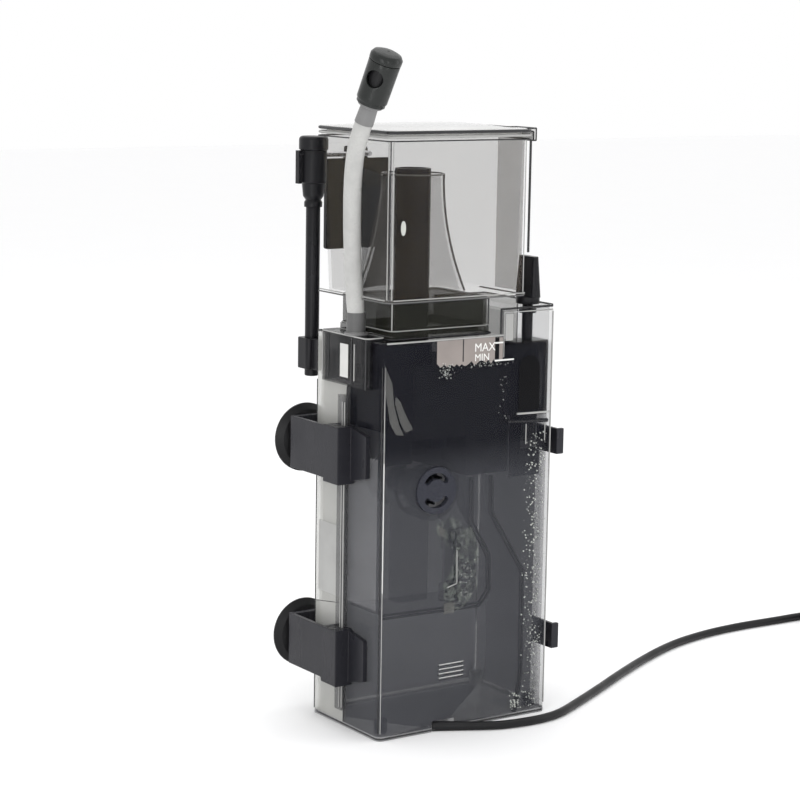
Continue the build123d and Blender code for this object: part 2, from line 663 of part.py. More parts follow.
# ---- Rails on both sides, over the seam ----
rail_y = seam - 0.4


def rail(side):
    """A T-shaped rail on one side of the casing; side is -1 left or 1 right."""
    face = side * body_w / 2
    edges = sorted((face, face + side * rail_stem_d))
    heads = sorted((face + side * rail_stem_d, face + side * (rail_stem_d + rail_head_d)))
    with BuildPart() as strip:
        block(*edges, rail_y - rail_stem_w / 2, rail_y + rail_stem_w / 2,
              rail_bottom, rail_top)
        block(*heads, rail_y - rail_head_w / 2, rail_y + rail_head_w / 2,
              rail_bottom, rail_top)
    return strip


rail_left = rail(-1)
save(rail_left, "rail_left")
rail_right = rail(1)
save(rail_right, "rail_right")


def rail_slot(z0, z1):
    """The running slot for the left rail, with clearance all round."""
    block(left - rail_stem_d, left + 1, rail_y - rail_stem_w / 2 - gap,
          rail_y + rail_stem_w / 2 + gap, z0, z1, mode=Mode.SUBTRACT)
    block(left - rail_stem_d - rail_head_d - gap, left - rail_stem_d + gap,
          rail_y - rail_head_w / 2 - gap, rail_y + rail_head_w / 2 + gap, z0, z1,
          mode=Mode.SUBTRACT)


stud_r = 3.0
suction_x = left + suction_in
knuckle_front, knuckle_d = front + 30.0, 17.0


def wide_bracket(mid):
    """The left bracket: knuckle on the rail, a long outer arm and a leg behind."""
    z0, z1 = mid - bracket_h / 2, mid + bracket_h / 2
    outer = left - bracket_out
    with BuildPart() as arm:
        block(outer, outer + 3.0, knuckle_front, leg_y + leg_t, z0, z1)
        block(outer, suction_x + 9.0, leg_y, leg_y + leg_t, z0, z1)
        block(outer - 1.4, left - gap, knuckle_front, knuckle_front + knuckle_d,
              z0 - 2.0, z1 + 1.0)
        with BuildSketch(Plane.YZ.offset(left - gap - 3.0)):
            with BuildLine():
                Polyline((knuckle_front, z0), (front + 13.0, z0 + 4.0),
                         (front + 13.0, z1 - 3.0), (knuckle_front, z1), close=True)
            make_face()
        extrude(amount=3.0)
        rail_slot(z0 - 3, z1 + 2)
        disc_y(suction_x, mid, stud_r + 0.05, leg_y - 1, leg_y + leg_t + 1,
               mode=Mode.SUBTRACT)
    return arm


def narrow_bracket(mid):
    """The right bracket: a short clip with a finger tab in front and a leg behind."""
    z0, z1 = mid - clip_h / 2, mid + clip_h / 2
    outer = left - 9.0
    with BuildPart() as arm:
        block(outer, outer + 2.6, front + 6.0, leg_y + leg_t, z0, z1)
        block(outer, suction_x + 9.0, leg_y, leg_y + leg_t, z0, z1)
        block(outer, left - gap, knuckle_front, knuckle_front + knuckle_d, z0, z1)
        block(left - 12.0, outer + 2.6, front + 3.4, front + 6.0, z0, z1)
        rail_slot(z0 - 3, z1 + 2)
        disc_y(suction_x, mid, stud_r + 0.05, leg_y - 1, leg_y + leg_t + 1,
               mode=Mode.SUBTRACT)
        mirror(about=Plane.YZ, mode=Mode.REPLACE)
    return arm


def suction_cup(x, z):
    """A rubber cup that faces backwards, with a stud through the bracket's leg."""
    y0 = leg_y + leg_t
    with BuildPart() as rubber:
        with BuildSketch(Plane.YZ.offset(x)):
            with BuildLine():
                Polyline((leg_y - 2.6, z), (leg_y - 2.6, z + 4.4), (leg_y, z + 4.4),
                         (leg_y, z + stud_r), (y0, z + stud_r), (y0, z + 8.0),
                         (y0 + 3.0, z + 10.0), (y0 + 5.4, z + suction_r - 4.0),
                         (y0 + suction_d - 1.2, z + suction_r),
                         (y0 + suction_d, z + suction_r),
                         (y0 + suction_d, z + suction_r - 2.0),
                         (y0 + 7.4, z + suction_r - 6.0), (y0 + 6.2, z), close=True)
            make_face()
        revolve(axis=Axis((x, 0, z), (0, 1, 0)))
    return rubber


for level, mid in bracket_z.items():
    save(wide_bracket(mid), f"bracket_{level}_left")
    save(narrow_bracket(mid), f"bracket_{level}_right")
    save(suction_cup(suction_x, mid), f"suction_cup_{level}_left")
    save(suction_cup(-suction_x, mid), f"suction_cup_{level}_right")

# ---- Hanger: guide on the back wall, rod, head, cap, bar and plate ----
guide_bottom, guide_top = 226.0, 246.0
with BuildPart() as hanger_guide:
    rounded(rod_x, rod_y, 15.0, 14.0, 3.0, guide_bottom, guide_top)
    block(rod_x - 4, rod_x + 4, back, rod_y - 5, guide_bottom, guide_top)
    disc_z(rod_x, rod_y, rod_r + 0.08, guide_bottom - 1, guide_top + 1,
           mode=Mode.SUBTRACT)
save(hanger_guide, "hanger_guide")
with BuildPart() as hanger_rod:
    disc_z(rod_x, rod_y, rod_r, rod_bottom, rod_top)
    fillet(hanger_rod.faces().sort_by(Axis.Z)[0].edges(), radius=0.8)
save(hanger_rod, "hanger_rod")
with BuildPart() as hanger_head:
    with BuildSketch(Plane.XZ.offset(-rod_y)):
        with BuildLine():
            Polyline((rod_x, rod_top - 6), (rod_x + 5.8, rod_top - 6),
                     (rod_x + 5.8, rod_top - 3), (rod_x + 4.9, rod_top - 1.6),
                     (rod_x + 6.6, rod_top + 0.8), (rod_x + 7.4, head_bottom),
                     (rod_x + head_r, head_bottom + 0.6), (rod_x + head_r, head_top),
                     (rod_x, head_top), close=True)
        make_face()
    revolve(axis=Axis((rod_x, rod_y, 0), (0, 0, 1)))
    disc_z(rod_x, rod_y, rod_r, rod_top - 7, rod_top, mode=Mode.SUBTRACT)
    block(rod_x - head_r - 3.6, rod_x - head_r - 1.2, rod_y - 2.0, rod_y + 2.0,
          head_bottom, head_top)
    block(rod_x - head_r - 1.4, rod_x - head_r + 1.0, rod_y - 2.0, rod_y + 2.0,
          head_top - 3.0, head_top)
save(hanger_head, "hanger_head")
with BuildPart() as hanger_cap:
    disc_z(rod_x, rod_y, head_r + 0.8, head_top + 0.3, head_top + 9.0)
    fillet(hanger_cap.faces().sort_by(Axis.Z)[-1].edges(), radius=2.4)
    fillet(hanger_cap.faces().sort_by(Axis.Z)[0].edges(), radius=0.6)
save(hanger_cap, "hanger_cap")
bar_end = left + 50.0
with BuildPart() as hanger_bar:
    with BuildLine() as bar_line:
        FilletPolyline((rod_x + head_r - 0.1, rod_y, bar_z), (bar_end, rod_y, bar_z),
                       (bar_end, hook_y + 0.2, bar_z), radius=5.0)
    with BuildSketch(Plane(origin=bar_line.line @ 0, z_dir=(1, 0, 0))):
        Circle(bar_r)
    sweep()
    disc_z(rod_x, rod_y, head_r, head_bottom - 5, head_top, mode=Mode.SUBTRACT)
save(hanger_bar, "hanger_bar")
with BuildPart() as hanger_clip:
    block(bar_end - 6, bar_end + 6, hook_y - 4.2, hook_y, bar_z - 4.5, bar_z + 3.0)
    disc_y(bar_end, bar_z, bar_r, hook_y - 5, hook_y + 0.2, mode=Mode.SUBTRACT)
save(hanger_clip, "hanger_clip")
with BuildPart() as hanger_plate:
    block(hook_left, hook_right, hook_y + 0.2, hook_y + 0.2 + hook_t, hook_bottom, hook_top)
    block(bar_end - 8, bar_end + 8, hook_y + 0.2, hook_y + 0.2 + hook_t, hook_top,
          bar_z + 4.0)
    fillet(hanger_plate.edges().filter_by(Axis.Y), radius=1.6)
save(hanger_plate, "hanger_plate")

# ---- Mains lead ----
cord_start = Vector(*cord_points[0])
cord_way = (Vector(*cord_points[1]) - cord_start).normalized()
gland_start = cord_start - cord_way * gland_l
with BuildPart() as cable_gland:
    for along, r in ((0.0, gland_r), (gland_l, cord_r)):
        with BuildSketch(Plane(origin=gland_start + cord_way * along, z_dir=cord_way)):
            Circle(r)
    loft()
    block(left, right, front - 40, back, -5, 0, mode=Mode.SUBTRACT)
save(cable_gland, "cable_gland")

cord_radii = arc_radii(cord_points)
print("cord radii", [round(r) for r in cord_radii])
with BuildPart() as power_cord:
    with BuildLine() as cord_path:
        FilletPolyline(*cord_points, radius=cord_radii)
    with BuildSketch(Plane(origin=cord_path.line @ 0, z_dir=cord_path.line % 0)):
        Circle(cord_r)
    sweep()
cord_volume = pi * cord_r**2 * path_length(cord_path)
print("cord length", round(path_length(cord_path), 1),
      "volume share", round(power_cord.part.volume / cord_volume, 4))
save(power_cord, "power_cord")

# The put-away length: a round coil that starts where the tube ends
coil_gap = 2 * cord_r
coil_out_r = coil_mid_r + coil_rows * cord_r
coil_in_r = coil_mid_r - coil_rows * cord_r
cord_end = cord_points[-1]
coil_x, coil_y = cord_end[0] + 2.0, cord_end[1] - coil_out_r - cord_r - 0.3
with BuildPart() as cord_coil:
    disc_z(coil_x, coil_y, coil_out_r, 0, coil_layers * coil_gap)
    disc_z(coil_x, coil_y, coil_in_r, -1, coil_layers * coil_gap + 1, mode=Mode.SUBTRACT)
save(cord_coil, "cord_coil")

plug_x, plug_y = coil_x - 12.0, coil_y - coil_out_r - 3.0 - plug_w / 2
with BuildPart() as plug_body:
    for x, w, h in ((plug_x + plug_l / 2, 11.0, 9.0), (plug_x - plug_l / 2, plug_w, plug_h)):
        with BuildSketch(Plane.YZ.offset(x)):
            with Locations((plug_y, plug_h / 2)):
                RectangleRounded(w, h, 0.3 * h)
    loft()
save(plug_body, "plug_body")
pin_gap, pin_r, pin_l = 19.0, 2.0, 19.0
with BuildPart() as plug_pins:
    with BuildSketch(Plane.YZ.offset(plug_x - plug_l / 2)):
        with Locations((plug_y - pin_gap / 2, plug_h / 2), (plug_y + pin_gap / 2, plug_h / 2)):
            Circle(pin_r)
    extrude(amount=-pin_l)
save(plug_pins, "plug_pins")
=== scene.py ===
import bpy
import bmesh
import random
from math import atan2, cos, pi, radians, sin
from mathutils import Matrix, Vector


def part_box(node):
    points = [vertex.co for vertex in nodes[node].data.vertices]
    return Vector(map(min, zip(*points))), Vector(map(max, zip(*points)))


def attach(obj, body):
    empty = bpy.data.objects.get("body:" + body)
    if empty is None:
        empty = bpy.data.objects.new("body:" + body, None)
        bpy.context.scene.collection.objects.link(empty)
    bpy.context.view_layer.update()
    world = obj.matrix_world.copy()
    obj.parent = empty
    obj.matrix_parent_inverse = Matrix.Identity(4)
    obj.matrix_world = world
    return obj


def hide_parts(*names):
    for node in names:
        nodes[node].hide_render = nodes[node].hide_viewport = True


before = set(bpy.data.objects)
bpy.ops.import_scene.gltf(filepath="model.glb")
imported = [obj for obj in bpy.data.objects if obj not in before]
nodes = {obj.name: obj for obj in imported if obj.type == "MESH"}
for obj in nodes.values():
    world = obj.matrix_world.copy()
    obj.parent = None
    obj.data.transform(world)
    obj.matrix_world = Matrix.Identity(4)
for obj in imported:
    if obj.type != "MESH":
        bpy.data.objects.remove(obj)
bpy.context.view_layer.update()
scene = bpy.context.scene
random.seed(7)
MM = 0.001
left, front = -66.2, -38.5      # the casing's left and front faces, in millimetres


def at(x, y, z):
    """A point in metres from its place in millimetres."""
    return Vector((x * MM, y * MM, z * MM))


def box_mm(name):
    """The low and high corners of a CAD node's box, in millimetres."""
    lo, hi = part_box(name)
    return Vector(lo) / MM, Vector(hi) / MM


def link(name, data):
    """A new object in the scene, made of the data."""
    made = bpy.data.objects.new(name, data)
    scene.collection.objects.link(made)
    return made


# ---- Camera: at the photograph's angle ----
camera_place = at(-838.5, -1197.6, 447.6)
yaw, pitch, roll = radians(34.11), radians(9.34), radians(0.91)
camera = link("camera", bpy.data.cameras.new("camera"))
camera.matrix_world = (
    Matrix.Translation(camera_place)
    @ Matrix.Rotation(-yaw, 4, "Z")
    @ Matrix.Rotation(pi / 2 - pitch, 4, "X")
    @ Matrix.Rotation(roll, 4, "Z")
)
camera.data.sensor_width = 36.0
camera.data.lens = 103.55
camera.data.clip_end = 50.0
scene.camera = camera


# ---- Materials ----
class Nodes:
    """A material's node tree, with short calls for the nodes used here."""

    def __init__(self, name):
        self.material = bpy.data.materials.new(name)
        self.material.use_nodes = True
        self.tree = self.material.node_tree
        self.shader = next(n for n in self.tree.nodes if n.type == "BSDF_PRINCIPLED")
        self.coords = self.tree.nodes.new("ShaderNodeTexCoord")

    def put(self, socket, value):
        """Link or set one input, whichever the value asks for."""
        if isinstance(value, bpy.types.NodeSocket):
            self.tree.links.new(value, socket)
        else:
            socket.default_value = value

    def noise(self, scale, detail=4.0, rough=0.55, stretch=None):
        """Noise in the frame's metres, stretched along its axes if asked."""
        made = self.tree.nodes.new("ShaderNodeTexNoise")
        made.inputs["Scale"].default_value = scale
        made.inputs["Detail"].default_value = detail
        made.inputs["Roughness"].default_value = rough
        vector = self.coords.outputs["Object"]
        if stretch:
            mapping = self.tree.nodes.new("ShaderNodeMapping")
            mapping.inputs["Scale"].default_value = stretch
            self.tree.links.new(vector, mapping.inputs["Vector"])
            vector = mapping.outputs["Vector"]
        self.tree.links.new(vector, made.inputs["Vector"])
        return made.outputs["Fac"]

    def spread(self, value, low, high, start=0.0, end=1.0):
        """The value's stretch from start to end, mapped to low to high."""
        made = self.tree.nodes.new("ShaderNodeMapRange")
        self.put(made.inputs["Value"], value)
        for key, number in (("From Min", start), ("From Max", end),
                            ("To Min", low), ("To Max", high)):
            made.inputs[key].default_value = number
        return made.outputs["Result"]

    def math(self, kind, *values):
        made = self.tree.nodes.new("ShaderNodeMath")
        made.operation = kind
        for socket, value in zip(made.inputs, values):
            self.put(socket, value)
        return made.outputs[0]

    def times(self, first, second):
        return self.math("MULTIPLY", first, second)

    def fade(self, first, second, share):
        """The first number, turning into the second as share goes from 0 to 1."""
        return self.math("ADD", first, self.math(
            "MULTIPLY", self.math("SUBTRACT", second, first), share))

    def blend(self, share, first, second):
        """The first colour, turning into the second as share goes from 0 to 1."""
        made = self.tree.nodes.new("ShaderNodeMix")
        made.data_type = "RGBA"
        factor, colour_a, colour_b, colour_out = 0, 6, 7, 2
        self.put(made.inputs[factor], share)
        self.put(made.inputs[colour_a], first)
        self.put(made.inputs[colour_b], second)
        return made.outputs[colour_out]

    def bump(self, height, strength, distance):
        made = self.tree.nodes.new("ShaderNodeBump")
        made.inputs["Strength"].default_value = strength
        made.inputs["Distance"].default_value = distance
        self.put(made.inputs["Height"], height)
        return made.outputs["Normal"]

    def set(self, **values):
        """Fill the shader's inputs, named with _ for a space; gives the material."""
        for key, value in values.items():
            self.put(self.shader.inputs[key.replace("_", " ")], value)
        return self.material


RIPPLE = 22                 # noise scale of the soft ripples in a see-through wall
MID = (0.3, 0.7)            # the stretch that most of a noise's values lie in


def moulded(name, colour, rough, alpha=1.0, grain=0.0002, gloss=0.2, worn=0.2, fine=900):
    """Moulded plastic: faint flow marks, uneven gloss, fine grain, scuffed tone."""
    m = Nodes(name)
    broad = m.noise(35, 3)
    flow = m.noise(60, 5, stretch=(1.0, 1.0, 0.25))
    darker = tuple(c * (1 - worn) for c in colour[:3]) + (1.0,)
    m.set(
        Base_Color=m.blend(m.spread(broad, 0.0, 1.0, *MID), colour, darker),
        Roughness=m.spread(flow, rough * 0.75, min(1.0, rough * 1.3), *MID),
        Normal=m.bump(m.noise(fine, 2), 0.25, grain),
        IOR=1.49,
        Alpha=alpha,
    )
    m.put(m.shader.inputs["Specular IOR Level"], gloss)
    return m.material


def clear(name, colour, alpha, rough=0.06, gloss=0.25):
    """See-through plastic: the same, with broad soft ripples in place of grain."""
    return moulded(name, colour, rough, alpha, 0.0006, gloss, 0.2, RIPPLE)


# Each row holds the maker and what it is called with after the name. For clear() that is
# colour, alpha, roughness and gloss; for moulded() colour, roughness, alpha, height of the
# grain, gloss, wear and noise scale of the grain.
plastics = {
    "duct_clear": (clear, (0.02, 0.02, 0.024, 1), 0.10),
    "pale_clear": (moulded, (0.62, 0.62, 0.59, 1), 0.12, 0.46, 0.0004, 0.25, 0.07, RIPPLE),
    "cup_clear": (clear, (0.085, 0.072, 0.052, 1), 0.13, 0.06, 0.15),
    "neck_clear": (clear, (0.035, 0.032, 0.030, 1), 0.13, 0.06, 0.15),
    "lid_white": (moulded, (0.80, 0.80, 0.79, 1), 0.10, 0.80, 0.0004, 0.5, 0.04, RIPPLE),
    "collar_smoke": (clear, (0.024, 0.0245, 0.019, 1), 0.58, 0.06, 0.12),
    "cover_smoke": (clear, (0.06, 0.06, 0.055, 1), 0.22),
    "port_smoke": (clear, (0.016, 0.016, 0.018, 1), 0.46, 0.06, 0.3),
    "dark_clear": (clear, (0.012, 0.012, 0.015, 1), 0.88),
    "foot_smoke": (clear, (0.34, 0.34, 0.35, 1), 0.50),
    "pump_smoke": (clear, (0.03, 0.032, 0.045, 1), 0.16, 0.2, 0.1),
    "disc_smoke": (moulded, (0.040, 0.042, 0.056, 1), 0.30, 0.75, 0.0002),
    "core_dark": (moulded, (0.010, 0.011, 0.020, 1), 0.18, 1.0, 0.0001, 0.1),
    "black_plastic": (moulded, (0.011, 0.011, 0.013, 1), 0.30, 1.0, 0.0003),
    "arm_plastic": (moulded, (0.022, 0.022, 0.027, 1), 0.30, 1.0, 0.0003),
    "silencer_green": (moulded, (0.0125, 0.0145, 0.0135, 1), 0.28, 1.0, 0.0003, 0.35),
    "rail_clear": (clear, (0.10, 0.10, 0.105, 1), 0.45),
    "valve_brown": (clear, (0.020, 0.016, 0.014, 1), 0.66),
    "spout_clear": (clear, (0.25, 0.25, 0.25, 1), 0.25),
    "grey_plastic": (moulded, (0.22, 0.22, 0.22, 1), 0.35, 0.9, 0.0002, 0.4),
    "sleeve_grey": (moulded, (0.12, 0.12, 0.12, 1), 0.3, 0.92, 0.0002, 0.4),
    "black_rubber": (moulded, (0.011, 0.011, 0.012, 1), 0.42, 1.0, 0.0004),
    "cord_jacket": (moulded, (0.012, 0.012, 0.013, 1), 0.35, 1.0, 0.0003),
    "impeller_dark": (moulded, (0.015, 0.016, 0.02, 1), 0.30, 1.0, 0.0002),
    # The edge_ and glow_ colours draw painted shade and painted highlights along the rims of
    # clear walls, and also a few real seams and pale panes.
    "edge_dark": (moulded, (0.020, 0.020, 0.022, 1), 0.15, 1.0, 0.0001, 0.4),
    "edge_grey": (moulded, (0.13, 0.13, 0.13, 1), 0.15, 1.0, 0.0001, 0.4),
    "edge_light": (moulded, (0.38, 0.38, 0.37, 1), 0.12, 1.0, 0.0001, 0.5),
    "glow_light": (moulded, (0.80, 0.80, 0.78, 1), 0.12, 0.8, 0.0001, 0.5),
    "mist_film": (moulded, (0.80, 0.80, 0.82, 1), 0.5, 0.90, 0.0002, 0.1, 0.05),
    "edge_brown": (moulded, (0.055, 0.040, 0.045, 1), 0.2, 0.7, 0.0001, 0.3),
    # film_dark and film_grey paint a reflection in the cup's left wall, and film_pale a sheen on
    # the casing's left face.
    "film_dark": (clear, (0.030, 0.031, 0.033, 1), 0.50, 0.15, 0.1),
    "film_grey": (clear, (0.085, 0.082, 0.078, 1), 0.45, 0.15, 0.1),
    "film_brown": (clear, (0.17, 0.145, 0.130, 1), 0.30, 0.2, 0.1),
    "film_pale": (clear, (0.42, 0.42, 0.44, 1), 0.20, 0.2, 0.1),
    "film_navy": (clear, (0.020, 0.021, 0.030, 1), 0.93, 0.15, 0.1),
    "window_pale": (clear, (0.36, 0.32, 0.30, 1), 0.78, 0.2, 0.2),
    "wedge_pale": (clear, (0.15, 0.15, 0.145, 1), 0.42, 0.2, 0.2),
    "black_panel": (moulded, (0.004, 0.004, 0.005, 1), 0.2, 0.92, 0.0001, 0.1),
    # White for the real bubbles, and for a painted highlight on the cup's core.
    "bubble_white": (moulded, (0.55, 0.57, 0.53, 1), 0.12, 1.0, 0.0001, 0.5),
    "ink_white": (moulded, (0.80, 0.80, 0.78, 1), 0.5, 1.0, 0.0002),
}
mats = {name: make(name, *values) for name, (make, *values) in plastics.items()}

# The front half's plastic lets more light through at its right edge and round the tower's
# top, and darkens upwards over the water line. Each pair is a fade's start and end in metres.
edge_fade, tower_fade = (0.0575, 0.0605), (0.0235, 0.0255)
deck_fade, water_fade = (0.2440, 0.2480), (0.162, 0.186)
wall_alpha, edge_alpha, tower_alpha = 0.50, 0.26, 0.12
smoked = Nodes("smoked_clear")
parts = smoked.tree.nodes.new("ShaderNodeSeparateXYZ")
smoked.tree.links.new(smoked.coords.outputs["Object"], parts.inputs[0])
along, up = parts.outputs["X"], parts.outputs["Z"]
edge_share = smoked.spread(along, 0.0, 1.0, *edge_fade)
tower_share = smoked.times(smoked.spread(along, 0.0, 1.0, *tower_fade),
                           smoked.spread(up, 0.0, 1.0, *deck_fade))
smoke_tone = smoked.noise(18, 3)
smoked.set(
    Base_Color=smoked.blend(
        smoked.spread(up, 0.0, 1.0, *water_fade),
        smoked.blend(smoked.spread(smoke_tone, 0.0, 1.0, *MID),
                     (0.062, 0.064, 0.074, 1), (0.054, 0.056, 0.064, 1)),
        (0.011, 0.0115, 0.016, 1)),
    Roughness=smoked.spread(smoked.noise(60, 5), 0.05, 0.09, *MID),
    Normal=smoked.bump(smoked.noise(RIPPLE, 2), 0.25, 0.0006),
    IOR=1.49,
    Alpha=smoked.fade(smoked.fade(wall_alpha, edge_alpha, edge_share),
                      tower_alpha, tower_share),
)
smoked.put(smoked.shader.inputs["Specular IOR Level"], 0.1)
mats["smoked_clear"] = smoked.material


def metal(name, colour, rough, stretch):
    """Bare metal with brush marks, stretched along the axes."""
    m = Nodes(name)
    brushed = m.noise(400, 6, stretch=stretch)
    return m.set(Base_Color=colour, Metallic=1.0,
                 Roughness=m.spread(brushed, rough * 0.6, rough * 1.5, *MID),
                 Normal=m.bump(brushed, 0.1, 0.0001))


mats["steel"] = metal("steel", (0.55, 0.55, 0.56, 1), 0.25, (1, 12, 1))
mats["magnet"] = metal("magnet", (0.10, 0.10, 0.11, 1), 0.35, (1, 1, 1))
mats["pin_brass"] = metal("pin_brass", (0.72, 0.60, 0.36, 1), 0.22, (1, 12, 12))

# Cloudy, speckled water, as it shows through the front wall
mottle = Nodes("mottle")
specks = mottle.noise(330, 5, 0.7)
mats["mottle"] = mottle.set(
    Base_Color=mottle.blend(mottle.noise(90, 2), (0.27, 0.31, 0.26, 1), (0.17, 0.18, 0.17, 1)),
    Roughness=0.3, Alpha=mottle.spread(specks, 0.0, 0.34, 0.48, 0.70))

silicone = Nodes("silicone")
cloud = silicone.noise(120, 3)
mats["silicone"] = silicone.set(
    Base_Color=silicone.blend(silicone.spread(cloud, 0, 1, *MID),
                              (0.50, 0.50, 0.485, 1), (0.43, 0.43, 0.42, 1)),
    Roughness=silicone.spread(cloud, 0.22, 0.42, *MID),
    Normal=silicone.bump(silicone.noise(700, 2), 0.2, 0.0002), IOR=1.43, Alpha=0.93)

sponge = Nodes("sponge")
pores = sponge.noise(420, 3, 0.7)
mats["sponge"] = sponge.set(
    Base_Color=sponge.blend(sponge.spread(pores, 0, 1, 0.42, 0.62),
                            (0.008, 0.009, 0.012, 1), (0.05, 0.052, 0.06, 1)),
    Roughness=0.95, Normal=sponge.bump(pores, 1.0, 0.002))

# Which CAD nodes wear which material
assigned = {
    "smoked_clear": ["front_casing"],
    "duct_clear": ["duct_wall_inner", "duct_wall_outer", "venturi_pipe"],
    "pale_clear": ["rear_casing"],
    "cup_clear": ["cup_body"],
    "neck_clear": ["riser_neck"],
    "lid_white": ["lid"],
    "collar_smoke": ["cup_collar", "socket_ring"],
    "cover_smoke": ["top_cover"],
    "port_smoke": ["port_block"],
    "dark_clear": ["inlet_chamber"],
    "foot_smoke": ["base_plate"],
    "core_dark": ["riser_core", "riser_elbow"],
    "black_plastic": [
        "valve_knob", "valve_stem", "valve_barrel", "hanger_guide", "hanger_rod",
        "hanger_head", "hanger_cap", "hanger_clip", "hanger_plate",
    ],
    "arm_plastic": ["bracket_upper_left", "bracket_upper_right",
                    "bracket_lower_left", "bracket_lower_right"],
    "silencer_green": ["silencer_body", "silencer_cap"],
    "pump_smoke": ["pump_housing", "pump_cradle"],
    "disc_smoke": ["volute_cover"],
    "rail_clear": ["rail_left", "rail_right"],
    "valve_brown": ["valve_housing"],
    "spout_clear": ["valve_spout"],
    "grey_plastic": ["air_ferrule", "silencer_stub"],
    "silicone": ["air_tube"],
    "black_rubber": ["cup_gasket", "suction_cup_upper_left", "suction_cup_upper_right",
                     "suction_cup_lower_left", "suction_cup_lower_right", "shaft_bush",
                     "silencer_foam"],
    "cord_jacket": ["power_cord", "cord_coil", "cable_gland", "plug_body"],
    "pin_brass": ["plug_pins"],
    "steel": ["base_screws", "pump_shaft", "hanger_bar"],
    "magnet": ["rotor_magnet"],
    "impeller_dark": ["impeller"],
    "sponge": ["filter_sponge"],
}
WELD_GAP = 0.00002          # vertices closer than this, in metres, count as one
SOFT_EDGE = 0.0006          # width of the rounding on the opaque mouldings, in metres


def dress(made, material):
    """The material alone on the piece."""
    made.data.materials.clear()
    made.data.materials.append(mats[material])


def soften(made, width, segments=2):
    """Small rounded edges that catch the light."""
    weld = made.modifiers.new("weld", "WELD")
    weld.merge_threshold = WELD_GAP
    bevel = made.modifiers.new("bevel", "BEVEL")
    bevel.width = width
    bevel.segments = segments
    bevel.limit_method = "ANGLE"
    bevel.angle_limit = radians(40)
    bevel.harden_normals = True
    bevel.use_clamp_overlap = True


for material, names in assigned.items():
    for name in names:
        dress(nodes[name], material)
for name in (assigned["black_plastic"] + assigned["arm_plastic"]
             + assigned["silencer_green"] + ["plug_body", "lid"]):
    soften(nodes[name], SOFT_EDGE)


# ---- Helpers for cords, edge lines and films ----
def swept(name, radius, resolution, material):
    """Curve data that is swept into a round section of this radius in metres."""
    data = bpy.data.curves.new(name, "CURVE")
    data.dimensions = "3D"
    data.bevel_depth = radius
    data.bevel_resolution = resolution
    data.materials.append(mats[material])
    return data


def run(data, kind, points):
    """A spline of the curve along points in metres."""
    spline = data.splines.new(kind)
    spline.points.add(len(points) - 1)
    for slot, point in zip(spline.points, points):
        slot.co = (*point, 1.0)
    return spline


def flexible(name, points, radius, resolution, material):
    """A smoothly bending cord or hose that starts and ends at the outer points."""
    data = swept(name, radius, resolution, material)
    data.resolution_u = 8
    spline = run(data, "NURBS", points)
    spline.order_u = 3
    spline.use_endpoint_u = True
    return link(name, data)


def lines(name, body, material, radius, strands):
    """Thin round beads along lists of points, all in one piece; the radius is in mm."""
    smoothness = 2 if radius < 2 else 8
    data = swept(name, radius * MM, smoothness, material)
    for strand in strands:
        run(data, "POLY", strand)
    data.use_fill_caps = True
    made = link(name, data)
    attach(made, body)
    return made


def beads(name, body, material, radius, *routes):
    """Edge lines along routes of (x, y, z) points in millimetres."""
    return lines(name, body, material, radius, [[at(*p) for p in route] for route in routes])


def sharp_edges(node, wanted, angle=35.0):
    """The sharp edges of a CAD node as two-point strands, where wanted(middle in mm) is true."""
    form = bmesh.new()
    form.from_mesh(nodes[node].data)
    bmesh.ops.remove_doubles(form, verts=form.verts, dist=WELD_GAP)
    found = []
    for edge in form.edges:
        if len(edge.link_faces) == 2 and edge.calc_face_angle() > radians(angle):
            a, b = (v.co.copy() for v in edge.verts)
            if wanted((a + b) / 2 / MM):
                found.append((a, b))
    form.free()
    return found


def ring(x0, x1, y0, y1, r, z, steps=6):
    """A closed loop round a rounded rectangle at height z."""
    loop = []
    for cx, cy, start in ((x1 - r, y1 - r, 0), (x0 + r, y1 - r, 90),
                          (x0 + r, y0 + r, 180), (x1 - r, y0 + r, 270)):
        for i in range(steps + 1):
            a = radians(start + 90 * i / steps)
            loop.append((cx + r * cos(a), cy + r * sin(a), z))
    return loop + loop[:1]


def pane(name, body, material, outline, axis, level, thick=0.08):
    """A thin film: an outline of (along, up) pairs on the plane where the axis has the level."""
    def place(u, v, w):
        return at(u, w, v) if axis == "y" else at(w, u, v)
    n = len(outline)
    points = [place(u, v, level) for u, v in outline]
    points += [place(u, v, level + thick) for u, v in outline]
    faces = [tuple(range(n)), tuple(range(2 * n - 1, n - 1, -1))]
    faces += [(i, i + n, (i + 1) % n + n, (i + 1) % n) for i in range(n)]
    data = bpy.data.meshes.new(name)
    data.from_pydata([tuple(p) for p in points], [], faces)
    data.materials.append(mats[material])
    made = link(name, data)
    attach(made, body)
    return made


def oblong(x0, x1, z0, z1):
    """A rectangle's outline for pane()."""
    return [(x0, z0), (x1, z0), (x1, z1), (x0, z1)]


# ---- Free cord: the mains lead ----
cord_d = 0.0056
cord_z = 2.8                # the lead lies on the floor, so its middle is this high, in mm
# Along the floor in millimetres, from the casing's front left corner
lead_route = [
    (66.5, -9.5), (80.0, -17.1), (97.0, -20.0), (114.0, -20.6), (131.0, -17.2),
    (152.0, -6.2), (186.0, 12.4), (225.0, 35.0), (265.0, 56.5), (308.0, 76.0),
    (348.0, 85.6), (384.0, 88.6), (418.0, 87.2), (446.0, 86.9), (472.0, 85.6),
]
lead_points = [at(left + x, front + y, cord_z) for x, y in lead_route]
coil_lo, coil_hi = (Vector(corner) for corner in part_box("cord_coil"))
coil_centre = (coil_lo + coil_hi) / 2
coil_outer, coil_inner = 0.0338, 0.0282
coil_turns, turn_points = 6, 16
start_angle = atan2(lead_points[-1].y - coil_centre.y, lead_points[-1].x - coil_centre.x)
